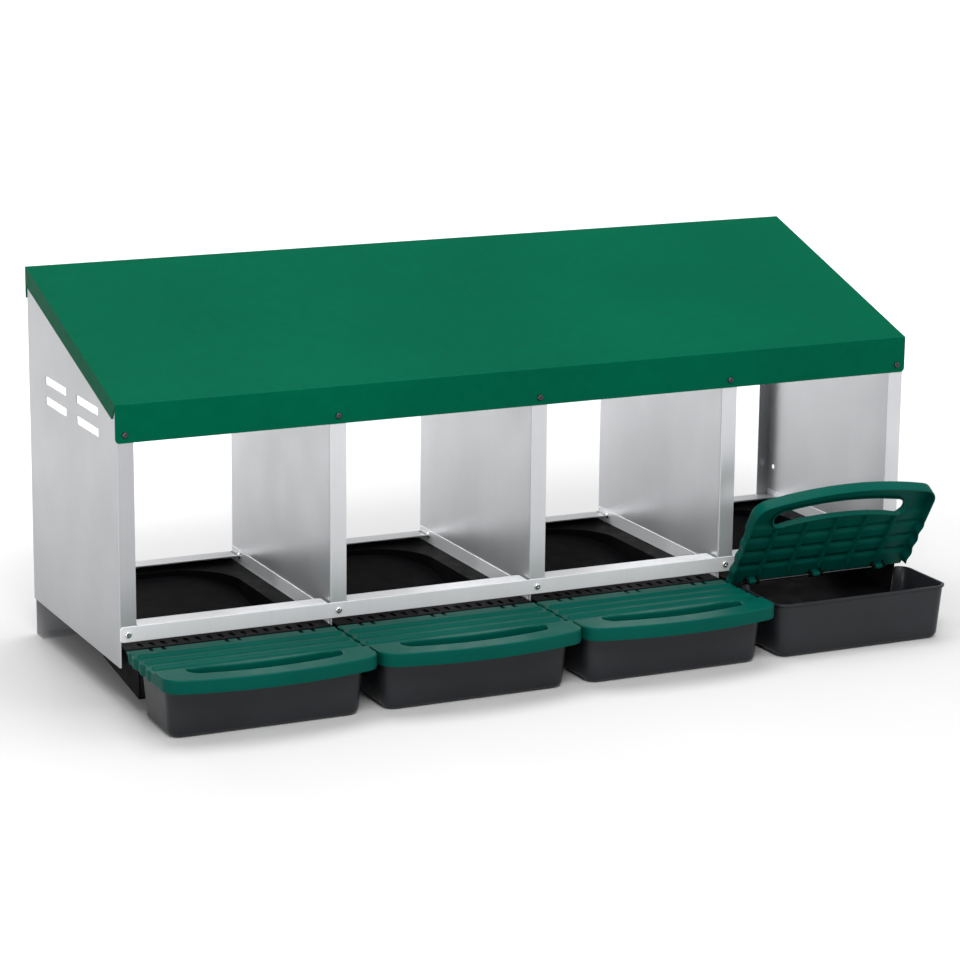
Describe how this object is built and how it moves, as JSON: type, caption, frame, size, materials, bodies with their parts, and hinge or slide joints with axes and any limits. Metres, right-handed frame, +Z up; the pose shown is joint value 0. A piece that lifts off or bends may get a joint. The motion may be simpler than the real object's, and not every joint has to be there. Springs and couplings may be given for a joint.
{
  "type": "nesting box",
  "caption": "Free-standing sheet-metal nesting box for laying hens: sloping green roof, open bays over roll-out nest trays, and lidded egg bins along the front.",
  "frame": {"origin": "on the shelf or floor, under the middle of the whole object's box", "axes": "+X to the right as the front is faced, +Y from the egg trays at the front to the open back, +Z up"},
  "size_m": [1.223, 0.5848, 0.5386],
  "materials": {
    "green_steel": "smooth green powder coat",
    "green_plastic": "satin moulded plastic",
    "black_plastic": "satin moulded plastic",
    "galvanised_steel": "galvanised sheet, soft sheen",
    "bright_steel": "zinc-plated",
    "dark_steel": "black-zinc plated screws and rods"
  },
  "bodies": {
    "house": {"roof_cover": "green_steel", "side_panel_left": "galvanised_steel", "side_panel_right": "galvanised_steel", "divider_1": "galvanised_steel", "divider_2": "galvanised_steel", "divider_3": "galvanised_steel", "front_rail": "galvanised_steel", "rear_rail": "galvanised_steel", "upper_rear_rail": "galvanised_steel", "tray_angle_1_left": "galvanised_steel", "tray_angle_1_right": "galvanised_steel", "nest_tray_1": "black_plastic", "egg_tray_1": "black_plastic", "lid_hinge_rod_1": "dark_steel", "tray_angle_2_left": "galvanised_steel", "tray_angle_2_right": "galvanised_steel", "nest_tray_2": "black_plastic", "egg_tray_2": "black_plastic", "lid_hinge_rod_2": "dark_steel", "tray_angle_3_left": "galvanised_steel", "tray_angle_3_right": "galvanised_steel", "nest_tray_3": "black_plastic", "egg_tray_3": "black_plastic", "lid_hinge_rod_3": "dark_steel", "tray_angle_4_left": "galvanised_steel", "tray_angle_4_right": "galvanised_steel", "nest_tray_4": "black_plastic", "egg_tray_4": "black_plastic", "lid_hinge_rod_4": "dark_steel", "roof_screws": "dark_steel", "roof_nuts": "bright_steel", "front_rail_screws": "bright_steel", "front_rail_nuts": "bright_steel", "rear_rail_screws": "bright_steel", "rear_rail_nuts": "bright_steel", "roof_rear_screws": "bright_steel", "roof_rear_nuts": "bright_steel", "tray_angle_screws": "bright_steel", "tray_angle_nuts": "bright_steel"},
    "lid_1": {"egg_tray_lid_1": "green_plastic"},
    "lid_2": {"egg_tray_lid_2": "green_plastic"},
    "lid_3": {"egg_tray_lid_3": "green_plastic"},
    "lid_4": {"egg_tray_lid_4": "green_plastic"}
  },
  "joints": [
    {"name": "lid_1_hinge", "type": "hinge", "parent": "house", "child": "lid_1", "pos_m": [-0.4575, -0.1154, 0.076], "axis": [-1, 0, 0], "range_deg": [0, 93]},
    {"name": "lid_2_hinge", "type": "hinge", "parent": "house", "child": "lid_2", "pos_m": [-0.1525, -0.1154, 0.076], "axis": [-1, 0, 0], "range_deg": [0, 93]},
    {"name": "lid_3_hinge", "type": "hinge", "parent": "house", "child": "lid_3", "pos_m": [0.1525, -0.1154, 0.076], "axis": [-1, 0, 0], "range_deg": [0, 93]},
    {"name": "lid_4_hinge", "type": "hinge", "parent": "house", "child": "lid_4", "pos_m": [0.4575, -0.1154, 0.076], "axis": [-1, 0, 0], "range_deg": [-58.5, 34.5]}
  ]
}
